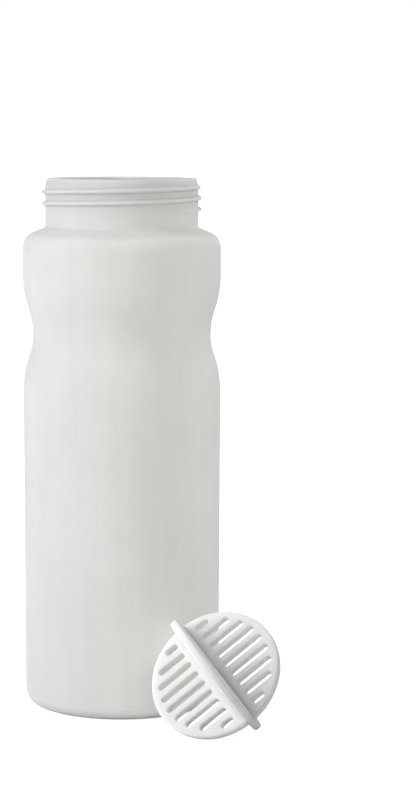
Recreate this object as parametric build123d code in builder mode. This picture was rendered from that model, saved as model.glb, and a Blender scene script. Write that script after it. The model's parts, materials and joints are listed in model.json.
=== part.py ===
# Protein shaker bottle: a waisted bottle with a threaded neck, a mixing insert of two crossed
# slotted discs that leans on the bottle's front, and the screw lid, set down behind the bottle.
#
# Frame: millimetres, +Z up, origin at the centre of the bottle's foot, on the table.
# -Y is the front. Each finished piece is written to parts/ as its own STEP file.

import os
from math import atan, cos, degrees, hypot, radians, sin, sqrt, tan

from build123d import *

# ---- bottle -------------------------------------------------------------------------------
wall = 1.3                     # blow-moulded wall, the same all round
bottle_height = 196.8
foot_radius = 36.35            # outside radius at the foot
side_radius = 36.7             # outside radius just below the waist
shoulder_radius = 36.75        # outside radius above the waist
heel_round = 4.5               # round between foot and side
push_up = 3.0                  # how far the middle of the bottom stands off the table
push_up_radius = 24.0
push_up_round = 2.0
foot_ring_inner = 27.5         # the flat ring that the bottle stands on starts here

waist_radius = 33.0            # tightest point of the grip
waist_z = 138.9
waist_bottom_z = 117.7         # where the side starts to curve in
waist_top_z = 161.1            # where it is full again
waist_convex = 40.0            # radius of the two outer, convex arcs of the waist

shoulder_corner_z = 175.2      # where the side and the shoulder cone would meet
shoulder_slope = 22.8          # degrees above horizontal
shoulder_round = 5.5
neck_foot_round = 1.2

neck_radius = 28.35            # thread root
mouth_radius = 26.4            # bore of the neck
lip_height = 3.0               # above the thread the neck draws in to the rim
lip_draft = 0.6
rim_round = 0.6

parting_height = 0.12          # fine ridge down both sides, where the mould's halves met
parting_width = 0.4
parting_bottom_z = 5.0
parting_top_z = 172.0
parting_reach = 2 * (shoulder_radius - waist_radius + wall / 2)
pinch_length = 44.0            # weld line across the bottom, where the mould pinched the tube
pinch_width = 0.8
pinch_height = 0.35

# ---- screw thread, right-handed, the same pitch on neck and lid ----------------------------
thread_pitch = 4.23
thread_depth = 1.25
thread_root_width = 2.6
thread_crest_width = 0.8
thread_crest_round = 0.35
thread_sink = 0.4              # how far a thread's root is buried in the wall
thread_fade = 50.0             # degrees over which an end runs out into the wall
thread_fade_drop = thread_depth + 0.1
neck_thread_z = 185.4          # middle of the thread at its start, on the +X side
neck_thread_turns = 1.9
lid_thread_z = 3.6             # the same for the lid's thread, above the skirt's edge
lid_thread_turns = 1.5

# ---- mixing insert ------------------------------------------------------------------------
disc_radius = 24.5
disc_thickness = 3.0
disc_edge_round = 0.9
slot_width = 2.5
slot_edge_round = 0.3
slot_pitch = 4.85
slots_each_side = 4            # slots to each side of the middle one
slot_inner = 4.5               # the slots' inner ends, from the common diameter
slot_outer_radius = 21.7       # the slots' outer ends lie on this circle
lap_clearance = 0.05           # each side of a disc in the other disc's half slit

insert_bearing = -55.7         # where the insert stands, seen from the bottle's axis, degrees
insert_distance = 59.4
insert_heading = -55.0         # heading of the common diameter's lower end, degrees
insert_tilt = 31.4             # how far that end points down, degrees
insert_roll = 47.0             # how far disc A's face leans over, about the common diameter

# ---- lid ----------------------------------------------------------------------------------
lid_y = 78.0                   # the lid stands behind the bottle, on the +Y side
skirt_radius = 31.9
skirt_bore = 29.9              # inside radius of the skirt, at the thread's root
skirt_lead_in = 0.8
ceiling_z = 17.0
deck_z = 19.2                  # top of the lid's deck
deck_round = 3.0
rib_count = 60
rib_radius = 0.7
rib_bottom_z = 1.6
rib_top_z = 14.4

seal_inner = 25.9              # flat ring that the bottle's rim presses on
seal_outer = 29.3
seal_thickness = 1.8
seal_groove = 0.4              # how deep the ring sits in the ceiling
seal_round = 0.35

spout_y = -14.0                # centre of the spout, from the lid's axis
spout_bore = 7.4
spout_root_radius = 11.4
spout_lip_radius = 9.8
spout_lip_z = 29.7
spout_lip_round_in = 0.7
spout_lip_round_out = 0.9
spout_root_round = 3.0
deck_sink = 1.2                # how deep the spout and the ears are rooted in the lid's top

pin_y = 26.0                   # hinge pin, from the lid's axis
pin_z = 28.2
pin_radius = 1.25
pin_length = 23.6
ear_bore = 1.27
ear_inner_x = 8.3
ear_thickness = 2.7
ear_round = 3.2
pin_chamfer = 0.25

cap_bore = 1.3                 # runs on the pin
barrel_radius = 3.2
arm_width = 15.4
arm_drop_length = 4.0          # the arm is thicker over this length in front of its barrel
arm_inner_round = 1.5
arm_heel_round = 2.6
cap_top_z = 33.6
cap_plate = 2.5
cap_radius = 12.6
cap_rim_inner = 11.0
cap_rim_z = 27.4               # lower edge of the cap's rim
thumb_length = 4.2
thumb_width = 12.0
thumb_overlap = 4.0            # how far the thumb tab reaches in under the cap's disc
thumb_round = 3.0
cap_edge_round = 0.9

plug_radius = 7.05             # enters the spout's bore
plug_bottom_z = 26.8
plug_round = 0.6
plug_flange_radius = 9.3
plug_flange = 1.0
plug_stud_radius = 2.6         # fills the recess in the cap's underside
plug_stud = 1.3

os.makedirs("parts", exist_ok=True)


def write(piece, name):
    """Label one finished piece and write it as parts/NAME.step."""
    piece.part.label = name
    export_step(piece.part, f"parts/{name}.step")


def waist_concave(full_radius, rise):
    """Radius of the concave arc that joins a convex arc of the waist with its tightest point."""
    drop = full_radius - waist_radius
    return (rise**2 + drop**2) / (2 * drop) - waist_convex


def waist_inflection(full_radius, full_z, inset):
    """Where the convex and concave arcs of the waist meet, on a wall line set in by inset."""
    concave = waist_concave(full_radius, waist_z - full_z)
    centre_r = full_radius - waist_convex
    run, rise = waist_radius + concave - centre_r, waist_z - full_z
    share = (waist_convex - inset) / hypot(run, rise)
    return (centre_r + share * run, full_z + share * rise)


def wall_line(inset, neck):
    """Draw half of the bottle's outline, set in by inset, from its bottom's middle to its lip."""
    low = (side_radius - inset, waist_bottom_z)
    tight = (waist_radius - inset, waist_z)
    high = (shoulder_radius - inset, waist_top_z)
    slope = radians(shoulder_slope)
    # the shoulder cone set in by inset, met by the side line and by the neck line
    corner_z = shoulder_corner_z - inset / cos(slope) + inset * tan(slope)
    neck_z = corner_z + (shoulder_radius - inset - neck) * tan(slope)

    FilletPolyline(
        (0, push_up + inset),
        (push_up_radius, push_up + inset),
        (foot_ring_inner, inset),
        (foot_radius - inset, inset),
        low,
        radius=(push_up_round, push_up_round, heel_round - inset),
    )
    rise = TangentArc(low, waist_inflection(side_radius, waist_bottom_z, inset), tangent=(0, 1))
    TangentArc(rise @ 1, tight, tangent=rise % 1)
    spread = TangentArc(tight, waist_inflection(shoulder_radius, waist_top_z, inset), tangent=(0, 1))
    TangentArc(spread @ 1, high, tangent=spread % 1)
    FilletPolyline(
        high,
        (shoulder_radius - inset, corner_z),
        (neck, neck_z),
        (neck, bottle_height - lip_height),
        radius=(shoulder_round - inset, neck_foot_round),
    )


def thread(radius, outward, start_z, turns, start_angle, axis_y=0.0):
    """Add a thread ridge on a wall of this radius; its two ends run out into the wall."""
    side = 1 if outward else -1
    fade_height = thread_pitch * thread_fade / 360
    fade_cone = degrees(atan(thread_fade_drop / fade_height))
    height = thread_pitch * turns
    end_angle = start_angle + 360 * turns
    stretches = (
        # height, first radius, cone angle, start z, start angle
        (height, radius, 0, start_z, start_angle),
        (fade_height, radius, -side * fade_cone, start_z + height, end_angle),
        (
            fade_height,
            radius - side * thread_fade_drop,
            side * fade_cone,
            start_z - fade_height,
            start_angle - thread_fade,
        ),
    )
    for stretch, first_radius, cone, z, angle in stretches:
        ridge = Helix(
            pitch=thread_pitch,
            height=stretch,
            radius=first_radius,
            cone_angle=cone,
            mode=Mode.PRIVATE,
        )
        place = Location((0, axis_y, z), (0, 0, angle))
        path = ridge.moved(place)
        outwards = Vector(cos(radians(angle)), sin(radians(angle)), 0) * side
        with BuildSketch(Plane(origin=path @ 0, x_dir=outwards, z_dir=path % 0)) as profile:
            with BuildLine():
                flanks = FilletPolyline(
                    (-thread_sink, -thread_root_width / 2),
                    (thread_depth, -thread_crest_width / 2),
                    (thread_depth, thread_crest_width / 2),
                    (-thread_sink, thread_root_width / 2),
                    radius=thread_crest_round,
                )
                Line(flanks @ 1, flanks @ 0)
            make_face()
        sweep(sections=profile.sketch, path=path, is_frenet=True)


# ---- bottle -------------------------------------------------------------------------------
with BuildPart() as bottle_body:
    with BuildSketch(Plane.XZ):
        with BuildLine():
            wall_line(0, neck_radius)
            Polyline(
                (neck_radius, bottle_height - lip_height),
                (neck_radius - lip_draft, bottle_height),
                (0, bottle_height),
                (0, push_up),
            )
        make_face()
    revolve(axis=Axis.Z)
    # the mould leaves a ridge down both sides and a weld line across the bottom
    with BuildSketch(Plane.XZ):
        with BuildLine():
            wall_line(-parting_height, neck_radius)
            Polyline(
                (neck_radius, bottle_height - lip_height),
                (0, bottle_height - lip_height),
                (0, push_up - parting_height),
            )
        make_face()
        with Locations((shoulder_radius, (parting_bottom_z + parting_top_z) / 2)):
            Rectangle(parting_reach, parting_top_z - parting_bottom_z, mode=Mode.INTERSECT)
    ridge = extrude(amount=parting_width / 2, both=True)
    mirror(ridge, about=Plane.YZ)
    with BuildSketch(Plane.XY.offset(push_up - pinch_height)):
        SlotOverall(pinch_length, pinch_width)
    extrude(amount=pinch_height + wall / 2)
    thread(neck_radius, True, neck_thread_z, neck_thread_turns, 0)
    with BuildSketch(Plane.XZ):
        with BuildLine():
            wall_line(wall, mouth_radius)
            Polyline(
                (mouth_radius, bottle_height - lip_height),
                (mouth_radius, bottle_height),
                (0, bottle_height),
                (0, push_up + wall),
            )
        make_face()
    revolve(axis=Axis.Z, mode=Mode.SUBTRACT)
    rim = bottle_body.faces().sort_by(Axis.Z)[-1]
    fillet(rim.edges(), rim_round)
write(bottle_body, "bottle_body")

# ---- mixing insert ------------------------------------------------------------------------
heading, tilt, roll = radians(insert_heading), radians(insert_tilt), radians(insert_roll)
common = Vector(cos(tilt) * cos(heading), cos(tilt) * sin(heading), -sin(tilt))
level = Vector(-sin(heading), cos(heading), 0)
steep = Vector(sin(tilt) * cos(heading), sin(tilt) * sin(heading), cos(tilt))
normal_a = steep * cos(roll) - level * sin(roll)
normal_b = steep * sin(roll) + level * cos(roll)

# disc A stands on the table on its rounded rim, so this is the height of the middle
rim_reach = (disc_radius - disc_edge_round) * sqrt(1 - normal_a.Z**2)
insert_z = rim_reach + (disc_thickness / 2 - disc_edge_round) * normal_a.Z + disc_edge_round
bearing = radians(insert_bearing)
insert_centre = Vector(insert_distance * cos(bearing), insert_distance * sin(bearing), insert_z)


def slotted_disc(plane, slit_side):
    """One disc of the insert; its half slit opens on the +X side of plane (1) or the -X side (-1)."""
    with BuildPart() as disc:
        with BuildSketch(plane.offset(-disc_thickness / 2)):
            Circle(disc_radius)
        extrude(amount=disc_thickness)
        fillet(disc.edges().filter_by(GeomType.CIRCLE), disc_edge_round)
        with BuildSketch(plane.offset(-disc_thickness / 2)):
            for step in range(-slots_each_side, slots_each_side + 1):
                x = step * slot_pitch
                outer = sqrt(slot_outer_radius**2 - x**2)
                for half in (-1, 1):
                    with Locations((x, half * (slot_inner + outer) / 2)):
                        SlotOverall(outer - slot_inner, slot_width, rotation=90)
        extrude(amount=disc_thickness, mode=Mode.SUBTRACT)
        faces = disc.faces().filter_by(plane).group_by(Axis(insert_centre, plane.z_dir))
        slot_edges = [wire.edges() for face in (faces[0][0], faces[-1][0]) for wire in face.inner_wires()]
        fillet(slot_edges, slot_edge_round)
        with BuildSketch(plane.offset(-disc_thickness / 2)):
            slit_length = disc_radius + lap_clearance
            with Locations((slit_side * (slit_length / 2 - lap_clearance), 0)):
                Rectangle(slit_length, disc_thickness + 2 * lap_clearance)
        extrude(amount=disc_thickness, mode=Mode.SUBTRACT)
    return disc


mixing_disc_a = slotted_disc(Plane(origin=insert_centre, x_dir=common, z_dir=normal_a), 1)
write(mixing_disc_a, "mixing_disc_a")
mixing_disc_b = slotted_disc(Plane(origin=insert_centre, x_dir=common, z_dir=normal_b), -1)
write(mixing_disc_b, "mixing_disc_b")

# ---- lid ----------------------------------------------------------------------------------
lid_top_view = Plane(origin=(0, lid_y, 0))
lid_section = Plane(origin=(0, lid_y, 0), x_dir=(1, 0, 0), z_dir=(0, -1, 0))
lid_side_view = Plane(origin=(0, lid_y, 0), x_dir=(0, 1, 0), z_dir=(1, 0, 0))
lid_axis = Axis((0, lid_y, 0), (0, 0, 1))
spout_section = Plane(origin=(0, lid_y + spout_y, 0), x_dir=(1, 0, 0), z_dir=(0, -1, 0))
spout_axis = Axis((0, lid_y + spout_y, 0), (0, 0, 1))

with BuildPart() as lid_shell:
    with BuildSketch(lid_section):
        with BuildLine():
            outside = FilletPolyline(
                (skirt_radius, 0), (skirt_radius, deck_z), (0, deck_z), radius=deck_round
            )
            Polyline(
                outside @ 1,
                (0, ceiling_z),
                (seal_inner, ceiling_z),
                (seal_inner, ceiling_z + seal_groove),
                (seal_outer, ceiling_z + seal_groove),
                (seal_outer, ceiling_z),
                (skirt_bore, ceiling_z),
                (skirt_bore, skirt_lead_in),
                (skirt_bore + skirt_lead_in, 0),
                outside @ 0,
            )
        make_face()
    revolve(axis=lid_axis)
    with BuildSketch(lid_top_view.offset(rib_bottom_z)):
        Circle(skirt_radius - rib_radius / 2)
        with PolarLocations(skirt_radius - rib_radius / 4, rib_count):
            Circle(rib_radius)
        Circle(skirt_radius - rib_radius, mode=Mode.SUBTRACT)
    extrude(amount=rib_top_z - rib_bottom_z)
    thread(skirt_bore, False, lid_thread_z, lid_thread_turns, 180, lid_y)
    # spout: a cone with a rounded lip, flared into the deck
    with BuildSketch(spout_section):
        with BuildLine():
            outline = FilletPolyline(
                (spout_bore, deck_z - deck_sink),
                (spout_bore, spout_lip_z),
                (spout_lip_radius, spout_lip_z),
                (spout_root_radius, deck_z),
                (spout_root_radius + spout_root_round, deck_z),
                (spout_root_radius + spout_root_round, deck_z - deck_sink),
                radius=(spout_lip_round_in, spout_lip_round_out, spout_root_round, 0),
            )
            Line(outline @ 1, outline @ 0)
        make_face()
    revolve(axis=spout_axis)
    with BuildSketch(lid_top_view.offset(ceiling_z)):
        with Locations((0, spout_y)):
            Circle(spout_bore)
    extrude(amount=deck_z - ceiling_z, mode=Mode.SUBTRACT)
    # two ears carry the hinge pin
    with BuildSketch(lid_side_view.offset(ear_inner_x)):
        with Locations((pin_y, pin_z)):
            Circle(ear_round)
        with Locations((pin_y, (pin_z + deck_z - deck_sink) / 2)):
            Rectangle(2 * ear_round, pin_z - deck_z + deck_sink)
        with Locations((pin_y, pin_z)):
            Circle(ear_bore, mode=Mode.SUBTRACT)
    ear = extrude(amount=ear_thickness)
    mirror(ear, about=Plane.YZ)
write(lid_shell, "lid_shell")

with BuildPart() as lid_seal_ring:
    with BuildSketch(lid_section):
        with Locations(((seal_inner + seal_outer) / 2, ceiling_z + seal_groove - seal_thickness / 2)):
            RectangleRounded(seal_outer - seal_inner, seal_thickness, seal_round)
    revolve(axis=lid_axis)
write(lid_seal_ring, "lid_seal_ring")

with BuildPart() as hinge_pin:
    with BuildSketch(lid_side_view.offset(-pin_length / 2)):
        with Locations((pin_y, pin_z)):
            Circle(pin_radius)
    extrude(amount=pin_length)
    chamfer(hinge_pin.edges(), pin_chamfer)
write(hinge_pin, "hinge_pin")

cap_underside_z = cap_top_z - cap_plate
with BuildPart() as flip_cap:
    # plate: a disc over the spout, a thumb tab in front and the arm that runs back to the hinge
    with BuildSketch(lid_top_view.offset(cap_underside_z)):
        with Locations((0, spout_y)):
            Circle(cap_radius)
        with Locations((0, (spout_y + pin_y) / 2)):
            Rectangle(arm_width, pin_y - spout_y)
        with Locations((0, spout_y - cap_radius + (thumb_overlap - thumb_length) / 2)):
            RectangleRounded(thumb_width, thumb_length + thumb_overlap, thumb_round)
    extrude(amount=cap_plate)
    # the arm's end turns down to the barrel round the pin
    with BuildSketch(lid_side_view.offset(-arm_width / 2)):
        with BuildLine():
            FilletPolyline(
                (pin_y - barrel_radius, pin_z),
                (pin_y - barrel_radius, cap_underside_z),
                (pin_y - barrel_radius - arm_drop_length, cap_underside_z),
                (pin_y - barrel_radius - arm_drop_length, cap_top_z),
                (pin_y + barrel_radius, cap_top_z),
                (pin_y + barrel_radius, pin_z),
                radius=(arm_inner_round, 0, 0, arm_heel_round),
            )
            Line((pin_y + barrel_radius, pin_z), (pin_y - barrel_radius, pin_z))
        make_face()
        with Locations((pin_y, pin_z)):
            Circle(barrel_radius)
    extrude(amount=arm_width)
    top_edges = flip_cap.faces().sort_by(Axis.Z)[-1].outer_wire().edges()
    fillet(top_edges, cap_edge_round)
    with BuildSketch(lid_top_view.offset(cap_rim_z)):
        with Locations((0, spout_y)):
            Circle(cap_radius)
            Circle(cap_rim_inner, mode=Mode.SUBTRACT)
    extrude(amount=cap_underside_z - cap_rim_z)
    with BuildSketch(lid_top_view.offset(cap_underside_z)):
        with Locations((0, spout_y)):
            Circle(plug_stud_radius)
    extrude(amount=plug_stud, mode=Mode.SUBTRACT)
    with BuildSketch(lid_side_view.offset(-arm_width / 2)):
        with Locations((pin_y, pin_z)):
            Circle(cap_bore)
    extrude(amount=arm_width, mode=Mode.SUBTRACT)
write(flip_cap, "flip_cap")

with BuildPart() as spout_seal:
    with BuildSketch(spout_section):
        with BuildLine():
            FilletPolyline(
                (0, plug_bottom_z),
                (plug_radius, plug_bottom_z),
                (plug_radius, cap_underside_z - plug_flange),
                (plug_flange_radius, cap_underside_z - plug_flange),
                (plug_flange_radius, cap_underside_z),
                (plug_stud_radius, cap_underside_z),
                (plug_stud_radius, cap_underside_z + plug_stud),
                (0, cap_underside_z + plug_stud),
                radius=(plug_round, 0, 0, 0, 0, 0),
            )
            Line((0, cap_underside_z + plug_stud), (0, plug_bottom_z))
        make_face()
    revolve(axis=spout_axis)
write(spout_seal, "spout_seal")
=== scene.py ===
# Looks of the protein shaker bottle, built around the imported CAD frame. Metres, +Z up.

import json
import math

import bpy
from mathutils import Matrix, Vector

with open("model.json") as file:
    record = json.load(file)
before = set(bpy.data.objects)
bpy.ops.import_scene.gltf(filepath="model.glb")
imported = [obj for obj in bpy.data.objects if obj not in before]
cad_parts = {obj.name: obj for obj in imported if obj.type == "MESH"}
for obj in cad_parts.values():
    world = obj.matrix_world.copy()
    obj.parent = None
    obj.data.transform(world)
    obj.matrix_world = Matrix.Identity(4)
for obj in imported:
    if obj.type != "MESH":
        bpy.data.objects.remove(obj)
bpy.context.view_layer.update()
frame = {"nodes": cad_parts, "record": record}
mouth = next(mount for mount in frame["record"]["mounts"] if mount["name"] == "mouth")

# ---- driving values -------------------------------------------------------------------------
CAMERA_PLACE = Vector((0.0, -0.880, 0.2173))
CAMERA_PITCH = math.radians(6.69)      # down
CAMERA_YAW = math.radians(2.095)       # towards +X
CAMERA_ROLL = math.radians(0.18)
CAMERA_LENS = 106.4                    # mm
CAMERA_SENSOR = 36.0                   # mm, held upright

# Painted shade: the neck is coloured darker than the body, from its foot up to its top. It stands
# in for the dimmer light that comes through the neck's wall, which is half as thick again as the
# body's.
NECK_FOOT = mouth["pos_m"][2] - mouth["dims"]["length_mm"] / 2000
NECK_FADE = 0.006
NECK_TOP = mouth["pos_m"][2] + mouth["dims"]["length_mm"] / 2000

FLOOR_SIZE = 40.0
FLOOR_GREY = 0.75
FLOOR_WHITE = 0.78                     # how much lighter the camera sees the floor than it is

# Azimuths are in degrees from the camera's side (-Y) towards +X, elevations above the horizon.
# The world gives broad soft lobes of light.
ROOM_LOBES = (
    # azimuth, elevation, brightness, colour
    (0, 89, 0.8, (1.0, 1.0, 1.0)),
    (155, 10, 0.8, (1.0, 0.985, 0.95)),
)
LOBE_EDGE = 0.3                        # cosine of the angle at which a lobe has faded out
SOFTBOXES = (
    # name, azimuth, elevation, power in watts
    ("softbox_left", -69, 17, 16.0),
)
SOFTBOX_DISTANCE = 1.2
SOFTBOX_SIZE = (0.4, 1.2)
# The real bottle's wall lets light through and spreads it inside, so its far side glows too.
# These lights reach the bottle alone, on both sides of its wall, and stand in for that.
BOTTLE_FILLS = (
    # name, azimuth, elevation, power in watts
    ("fill_front", 42, 14, 15.4),
    ("fill_back", 135, 14, 2.5),
)
FILL_DISTANCE = 1.5
FILL_SIZE = (1.2, 0.8)
FILL_COLOUR = (1.0, 0.985, 0.94)
MIDDLE = Vector((0, 0, 0.1))           # what the softboxes point at


# ---- node helpers ---------------------------------------------------------------------------
class Shader:
    """A material under construction: its nodes are made and linked by short calls."""

    def __init__(self, name):
        self.material = bpy.data.materials.new(name)
        self.material.use_nodes = True
        self.tree = self.material.node_tree
        self.bsdf = self.tree.nodes["Principled BSDF"]
        self.place = self.node("ShaderNodeTexCoord").outputs["Object"]

    def node(self, kind, **settings):
        made = self.tree.nodes.new(kind)
        for key, value in settings.items():
            setattr(made, key, value)
        return made

    def link(self, source, target):
        self.tree.links.new(source, target)

    def constant(self, **values):
        """Sets the shader's own sockets, named with underscores for spaces."""
        for key, value in values.items():
            self.bsdf.inputs[key.replace("_", " ")].default_value = value

    def stretched(self, scale):
        """The object's coordinates, scaled along each axis."""
        mapping = self.node("ShaderNodeMapping")
        mapping.inputs["Scale"].default_value = scale
        self.link(self.place, mapping.inputs["Vector"])
        return mapping.outputs["Vector"]

    def noise(self, scale, detail=2.0, roughness=0.5, where=None):
        made = self.node("ShaderNodeTexNoise")
        made.inputs["Scale"].default_value = scale
        made.inputs["Detail"].default_value = detail
        made.inputs["Roughness"].default_value = roughness
        self.link(self.place if where is None else where, made.inputs["Vector"])
        return made.outputs["Fac"]

    def remap(self, value, low, high, to_low, to_high):
        made = self.node("ShaderNodeMapRange", interpolation_type="SMOOTHSTEP")
        sockets = ("From Min", "From Max", "To Min", "To Max")
        for socket, number in zip(sockets, (low, high, to_low, to_high)):
            made.inputs[socket].default_value = number
        self.link(value, made.inputs["Value"])
        return made.outputs["Result"]

    def math(self, operation, first, second):
        made = self.node("ShaderNodeMath", operation=operation)
        for socket, value in zip(made.inputs, (first, second)):
            if isinstance(value, (int, float)):
                socket.default_value = value
            else:
                self.link(value, socket)
        return made.outputs[0]

    def mix(self, share, first, second):
        made = self.node("ShaderNodeMix", data_type="RGBA")
        self.link(share, made.inputs["Factor"])
        # the mix node has one pair of inputs for each data type; 6 and 7 are the colours
        for socket, value in zip((made.inputs[6], made.inputs[7]), (first, second)):
            if isinstance(value, tuple):
                socket.default_value = (*value, 1.0)
            else:
                self.link(value, socket)
        return made.outputs[2]

    def bump(self, height, strength, distance, below=None):
        made = self.node("ShaderNodeBump")
        made.inputs["Strength"].default_value = strength
        made.inputs["Distance"].default_value = distance
        self.link(height, made.inputs["Height"])
        if below is not None:
            self.link(below, made.inputs["Normal"])
        return made.outputs["Normal"]

    def finish(self, colour=None, roughness=None, normal=None):
        for socket, value in (("Base Color", colour), ("Roughness", roughness), ("Normal", normal)):
            if value is not None:
                self.link(value, self.bsdf.inputs[socket])
        return self.material


# ---- materials ------------------------------------------------------------------------------
def milky_plastic():
    """Blow-moulded, faintly frosted polypropylene."""
    s = Shader("milky_plastic")
    s.constant(
        IOR=1.49,
        Specular_IOR_Level=0.65,
        Subsurface_Weight=0.6,
        Subsurface_Radius=(1.0, 0.97, 0.9),
        Subsurface_Scale=0.004,
    )
    cloud = s.noise(28.0, detail=3.0)
    streak = s.noise(1.0, detail=4.0, where=s.stretched((160.0, 160.0, 9.0)))
    variation = s.math("ADD", s.math("MULTIPLY", cloud, 0.6), s.math("MULTIPLY", streak, 0.4))
    share = s.remap(variation, 0.35, 0.65, 0.0, 1.0)
    body = s.mix(share, (0.585, 0.585, 0.58), (0.615, 0.615, 0.61))
    height = s.node("ShaderNodeSeparateXYZ")
    s.link(s.place, height.inputs["Vector"])
    # painted shade: from the neck's foot up to its top the colour darkens to a flat grey, standing
    # in for the dimmer light through the thicker wall
    neck_painted_shade = s.remap(height.outputs["Z"], NECK_FOOT - NECK_FADE, NECK_TOP, 0.0, 1.0)
    colour = s.mix(neck_painted_shade, body, (0.53, 0.525, 0.53))
    grain = s.noise(2600.0, detail=2.0, roughness=0.6)
    roughness = s.remap(s.noise(90.0, detail=4.0), 0.3, 0.7, 0.46, 0.52)
    wave = s.noise(22.0, detail=1.0)
    normal = s.bump(wave, 0.25, 0.0006)
    normal = s.bump(grain, 0.22, 0.00012, below=normal)
    return s.finish(colour, roughness, normal)


def insert_plastic():
    """White satin injection-moulded plastic."""
    s = Shader("insert_plastic")
    s.constant(IOR=1.49, Specular_IOR_Level=0.5, Subsurface_Weight=0.8, Subsurface_Scale=0.005,
               Subsurface_Radius=(1.0, 0.98, 0.92))
    cloud = s.noise(120.0, detail=3.0)
    colour = s.mix(s.remap(cloud, 0.3, 0.7, 0.0, 1.0), (0.815, 0.815, 0.805), (0.845, 0.845, 0.835))
    roughness = s.remap(s.noise(400.0, detail=3.0), 0.3, 0.7, 0.3, 0.42)
    normal = s.bump(s.noise(1800.0, detail=2.0), 0.15, 0.00008)
    return s.finish(colour, roughness, normal)


def lid_plastic():
    """White satin injection-moulded plastic, a little thicker and glossier than the insert."""
    s = Shader("lid_plastic")
    s.constant(IOR=1.49, Specular_IOR_Level=0.5, Subsurface_Weight=0.2, Subsurface_Scale=0.002,
               Subsurface_Radius=(1.0, 0.98, 0.92))
    cloud = s.noise(70.0, detail=3.0)
    colour = s.mix(s.remap(cloud, 0.3, 0.7, 0.0, 1.0), (0.80, 0.80, 0.79), (0.84, 0.84, 0.83))
    roughness = s.remap(s.noise(260.0, detail=3.0), 0.3, 0.7, 0.26, 0.4)
    normal = s.bump(s.noise(1500.0, detail=2.0), 0.15, 0.0001)
    return s.finish(colour, roughness, normal)


def silicone():
    """Soft translucent seal."""
    s = Shader("silicone")
    s.constant(IOR=1.42, Specular_IOR_Level=0.35, Subsurface_Weight=0.7, Subsurface_Scale=0.003,
               Subsurface_Radius=(0.9, 1.0, 1.0))
    cloud = s.noise(160.0, detail=3.0)
    colour = s.mix(s.remap(cloud, 0.3, 0.7, 0.0, 1.0), (0.60, 0.62, 0.63), (0.66, 0.68, 0.68))
    roughness = s.remap(s.noise(700.0, detail=3.0), 0.3, 0.7, 0.42, 0.6)
    normal = s.bump(s.noise(900.0, detail=3.0), 0.2, 0.0001)
    return s.finish(colour, roughness, normal)


def pin_steel():
    """Drawn wire, with fine lines along the pin."""
    s = Shader("pin_steel")
    s.constant(Metallic=1.0)
    lines = s.noise(1.0, detail=4.0, where=s.stretched((60.0, 5000.0, 5000.0)))
    colour = s.mix(lines, (0.50, 0.50, 0.51), (0.66, 0.66, 0.67))
    roughness = s.remap(lines, 0.3, 0.7, 0.2, 0.38)
    return s.finish(colour, roughness, s.bump(lines, 0.2, 0.00005))


def paint_nodes():
    """Gives every CAD node its procedural material, by the record's slots."""
    made = {
        "milky_plastic": milky_plastic(),
        "insert_plastic": insert_plastic(),
        "lid_plastic": lid_plastic(),
        "silicone": silicone(),
        "pin_steel": pin_steel(),
    }
    for row in frame["record"]["subparts"]:
        piece = frame["nodes"][row["node"]]
        piece.data.materials.clear()
        piece.data.materials.append(made[row["material_slot"]])


# ---- stage ----------------------------------------------------------------------------------
def direction(azimuth, elevation):
    """Unit vector towards a place round the object, from angles in degrees."""
    azimuth, elevation = math.radians(azimuth), math.radians(elevation)
    level = math.cos(elevation)
    return Vector((math.sin(azimuth) * level, -math.cos(azimuth) * level, math.sin(elevation)))


def add_floor():
    """A pale floor. The camera sees it lighter than it is, so that only a faint shadow shows."""
    half = FLOOR_SIZE / 2
    mesh = bpy.data.meshes.new("floor")
    corners = [(-half, -half, 0), (half, -half, 0), (half, half, 0), (-half, half, 0)]
    mesh.from_pydata(corners, [], [(0, 1, 2, 3)])
    floor = bpy.data.objects.new("floor", mesh)
    bpy.context.scene.collection.objects.link(floor)
    s = Shader("floor")
    s.constant(
        Base_Color=(FLOOR_GREY, FLOOR_GREY, FLOOR_GREY, 1),
        Roughness=1.0,
        Specular_IOR_Level=0.0,
        Emission_Color=(1, 1, 1, 1),
    )
    seen = s.node("ShaderNodeLightPath").outputs["Is Camera Ray"]
    s.link(s.math("MULTIPLY", seen, FLOOR_WHITE), s.bsdf.inputs["Emission Strength"])
    mesh.materials.append(s.material)
    return floor


def add_softbox(name, azimuth, elevation, power, distance, size, colour=(1, 1, 1)):
    """A rectangular lamp that points at the middle of the object."""
    light = bpy.data.lights.new(name, "AREA")
    light.shape = "RECTANGLE"
    light.size, light.size_y = size
    light.energy = power
    light.color = colour
    lamp = bpy.data.objects.new(name, light)
    bpy.context.scene.collection.objects.link(lamp)
    towards = direction(azimuth, elevation)
    lamp.location = MIDDLE + distance * towards
    lamp.rotation_euler = (-towards).to_track_quat("-Z", "Y").to_euler()
    # a lamp that faces the camera would glare along the far edge and burn it into the backdrop
    lamp.visible_glossy = False
    return lamp


def add_lights(floor):
    """The softboxes, which light everything, and the fills, which light the bottle alone."""
    for softbox in SOFTBOXES:
        add_softbox(*softbox, SOFTBOX_DISTANCE, SOFTBOX_SIZE)
    bottle = bpy.data.collections.new("lit_by_fills")
    bottle.objects.link(frame["nodes"]["bottle_body"])
    blocker = bpy.data.collections.new("blocks_fills")
    blocker.objects.link(floor)
    for fill in BOTTLE_FILLS:
        lamp = add_softbox(*fill, FILL_DISTANCE, FILL_SIZE, FILL_COLOUR)
        lamp.light_linking.receiver_collection = bottle
        lamp.light_linking.blocker_collection = blocker


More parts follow.
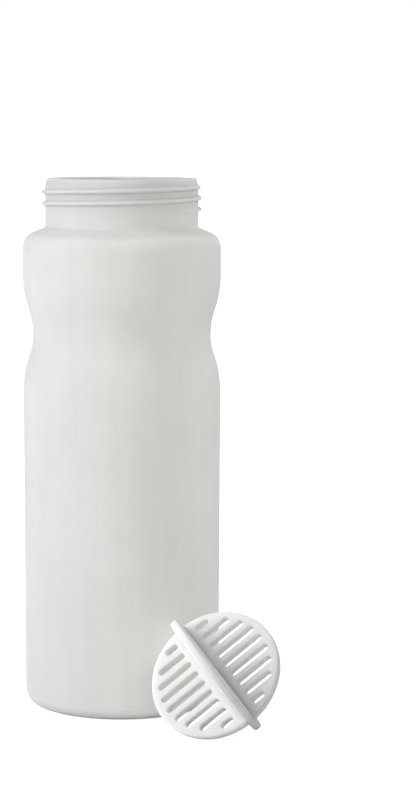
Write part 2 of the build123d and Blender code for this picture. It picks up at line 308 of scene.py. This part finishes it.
def add_room():
    """The world: soft lobes of light on the object, and plain white for the camera itself."""
    world = bpy.data.worlds.new("studio")
    bpy.context.scene.world = world
    world.use_nodes = True
    nodes, link = world.node_tree.nodes, world.node_tree.links.new
    around = nodes.new("ShaderNodeTexCoord").outputs["Generated"]
    glow = None
    for azimuth, elevation, brightness, colour in ROOM_LOBES:
        dot = nodes.new("ShaderNodeVectorMath")
        dot.operation = "DOT_PRODUCT"
        dot.inputs[1].default_value = direction(azimuth, elevation)
        link(around, dot.inputs[0])
        lobe = nodes.new("ShaderNodeMapRange")
        lobe.interpolation_type = "SMOOTHSTEP"
        lobe.inputs["From Min"].default_value = LOBE_EDGE
        lobe.inputs["To Max"].default_value = brightness
        link(dot.outputs["Value"], lobe.inputs["Value"])
        shine = nodes.new("ShaderNodeBackground")
        shine.inputs["Color"].default_value = (*colour, 1)
        link(lobe.outputs["Result"], shine.inputs["Strength"])
        if glow is None:
            glow = shine.outputs[0]
        else:
            both = nodes.new("ShaderNodeAddShader")
            link(glow, both.inputs[0])
            link(shine.outputs[0], both.inputs[1])
            glow = both.outputs[0]
    white = nodes.new("ShaderNodeBackground")
    white.inputs["Color"].default_value = (1, 1, 1, 1)
    mix = nodes.new("ShaderNodeMixShader")
    link(nodes.new("ShaderNodeLightPath").outputs["Is Camera Ray"], mix.inputs["Fac"])
    link(glow, mix.inputs[1])
    link(white.outputs[0], mix.inputs[2])
    link(mix.outputs[0], nodes["World Output"].inputs["Surface"])


def add_camera():
    """The camera, turned by its yaw, pitch and roll."""
    data = bpy.data.cameras.new("camera")
    camera = bpy.data.objects.new("camera", data)
    bpy.context.scene.collection.objects.link(camera)
    bpy.context.scene.camera = camera
    data.sensor_width = CAMERA_SENSOR
    data.lens = CAMERA_LENS
    forward = Vector((
        math.sin(CAMERA_YAW) * math.cos(CAMERA_PITCH),
        math.cos(CAMERA_YAW) * math.cos(CAMERA_PITCH),
        -math.sin(CAMERA_PITCH),
    ))
    level = Vector((math.cos(CAMERA_YAW), -math.sin(CAMERA_YAW), 0))
    above = level.cross(forward)
    right = math.cos(CAMERA_ROLL) * level + math.sin(CAMERA_ROLL) * above
    up = right.cross(forward)
    turn = Matrix((right, up, -forward)).transposed()
    camera.matrix_world = Matrix.Translation(CAMERA_PLACE) @ turn.to_4x4()


paint_nodes()
add_room()
add_lights(add_floor())
add_camera()
bpy.context.scene.view_settings.view_transform = "Standard"
